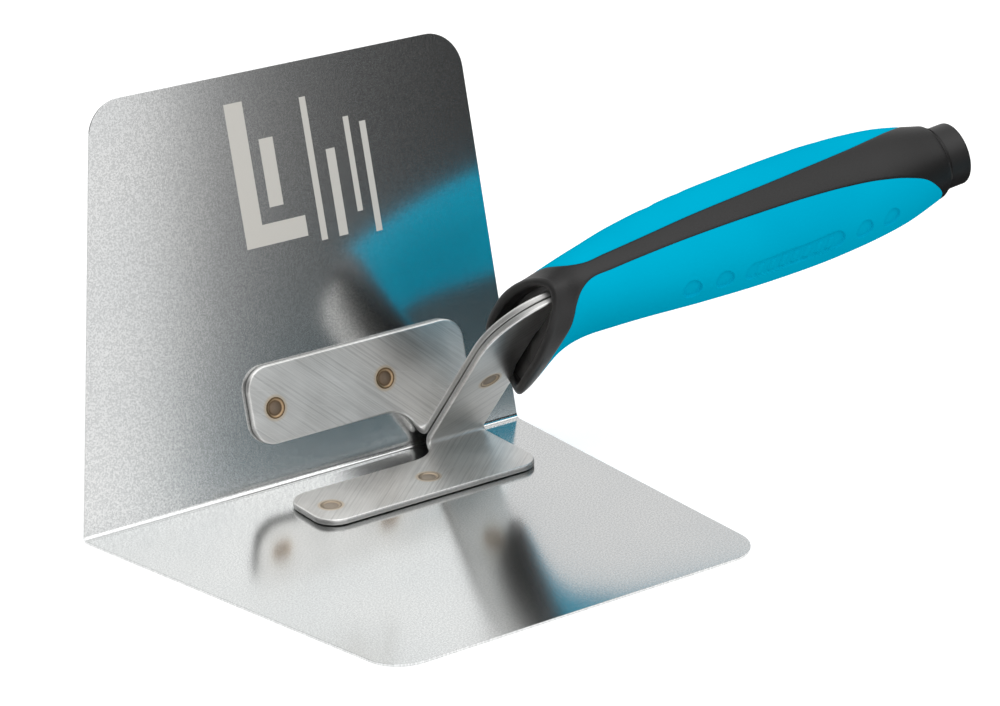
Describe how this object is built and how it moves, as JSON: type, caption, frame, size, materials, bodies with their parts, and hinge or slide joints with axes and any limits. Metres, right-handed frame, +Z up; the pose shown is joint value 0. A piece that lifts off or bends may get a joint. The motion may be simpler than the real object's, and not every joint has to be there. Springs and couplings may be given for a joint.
{
  "type": "inside corner trowel",
  "caption": "Inside corner plastering trowel: a thin sheet bent into two wings, two brackets spot-welded in the corner and a two-tone soft-grip handle.",
  "frame": {"origin": "middle of the lower wing's outer face, halfway along the fold and halfway from the fold to the outer edge", "axes": "+X along the fold towards the handle, +Z up with the lower wing's outer face on the ground, +Y from the lower wing's outer edge to the fold"},
  "size_m": [0.2315, 0.1266, 0.0997],
  "materials": {
    "blade_steel": "satin, finely polished",
    "bracket_steel": "brushed, with bright deburred rims",
    "weld_tint": "heat-tinted weld marks",
    "hard_plastic": "fine satin",
    "soft_black": "soft matte",
    "soft_cyan": "soft satin"
  },
  "bodies": {
    "root": {"blade": "blade_steel", "upper_bracket": "bracket_steel", "lower_bracket": "bracket_steel", "upper_flange_welds": "weld_tint", "lower_flange_welds": "weld_tint", "web_weld": "weld_tint", "handle_core": "hard_plastic", "soft_overmould": "soft_black", "grip_cover": "soft_cyan"}
  },
  "joints": []
}
